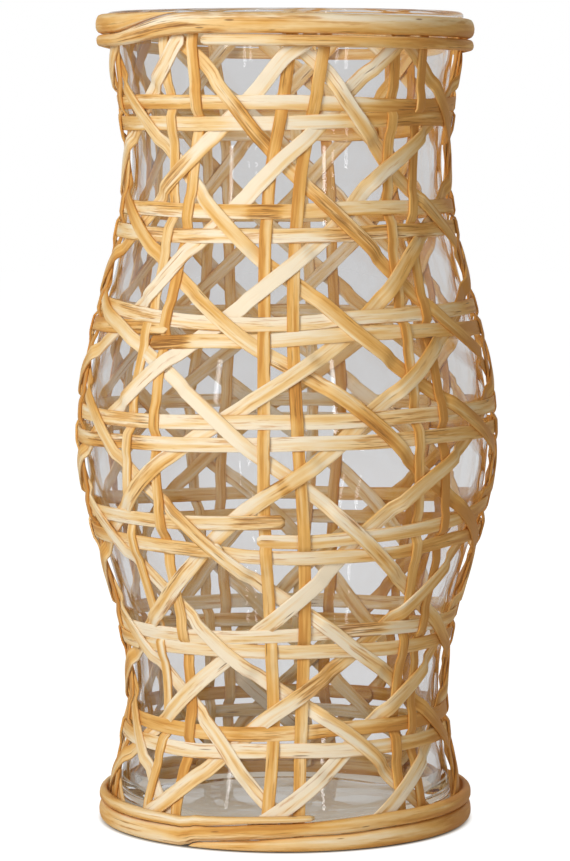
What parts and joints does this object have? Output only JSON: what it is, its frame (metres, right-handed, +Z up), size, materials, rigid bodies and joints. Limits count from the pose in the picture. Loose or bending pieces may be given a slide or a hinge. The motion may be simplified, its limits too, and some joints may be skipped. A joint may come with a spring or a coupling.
{
  "type": "hurricane vase",
  "caption": "clear glass hurricane vase with a closed floor, standing in an open waisted sleeve woven from rattan strips between two wound rattan rims",
  "frame": {"origin": "the centre of the glass's underside, on the table", "axes": "+Z up, the axis of the vase; -Y towards the front"},
  "size_m": [0.2126, 0.2123, 0.405],
  "materials": {
    "clear_glass": "polished",
    "rattan_strip": "satin",
    "rattan_pole": "satin"
  },
  "bodies": {
    "root": {"glass_vessel": "clear_glass", "top_rim_pole": "rattan_pole", "bottom_rim_pole": "rattan_pole", "hoop_1_upper": "rattan_strip", "hoop_1_lower": "rattan_strip", "hoop_2_upper": "rattan_strip", "hoop_2_lower": "rattan_strip", "hoop_3_upper": "rattan_strip", "hoop_3_lower": "rattan_strip", "hoop_4_upper": "rattan_strip", "hoop_4_lower": "rattan_strip", "hoop_5_upper": "rattan_strip", "hoop_5_lower": "rattan_strip", "hoop_6_upper": "rattan_strip", "hoop_6_lower": "rattan_strip", "hoop_7_upper": "rattan_strip", "hoop_7_lower": "rattan_strip", "stake_1_left": "rattan_strip", "stake_1_right": "rattan_strip", "stake_2_left": "rattan_strip", "stake_2_right": "rattan_strip", "stake_3_left": "rattan_strip", "stake_3_right": "rattan_strip", "stake_4_left": "rattan_strip", "stake_4_right": "rattan_strip", "stake_5_left": "rattan_strip", "stake_5_right": "rattan_strip", "stake_6_left": "rattan_strip", "stake_6_right": "rattan_strip", "stake_7_left": "rattan_strip", "stake_7_right": "rattan_strip", "stake_8_left": "rattan_strip", "stake_8_right": "rattan_strip", "stake_9_left": "rattan_strip", "stake_9_right": "rattan_strip", "brace_down_1": "rattan_strip", "brace_up_1": "rattan_strip", "brace_down_2": "rattan_strip", "brace_up_2": "rattan_strip", "brace_down_3": "rattan_strip", "brace_up_3": "rattan_strip", "brace_down_4": "rattan_strip", "brace_up_4": "rattan_strip", "brace_down_5": "rattan_strip", "brace_up_5": "rattan_strip", "brace_down_6": "rattan_strip", "brace_up_6": "rattan_strip", "brace_down_7": "rattan_strip", "brace_up_7": "rattan_strip", "brace_down_8": "rattan_strip", "brace_up_8": "rattan_strip", "brace_down_9": "rattan_strip", "brace_up_9": "rattan_strip"}
  },
  "joints": []
}
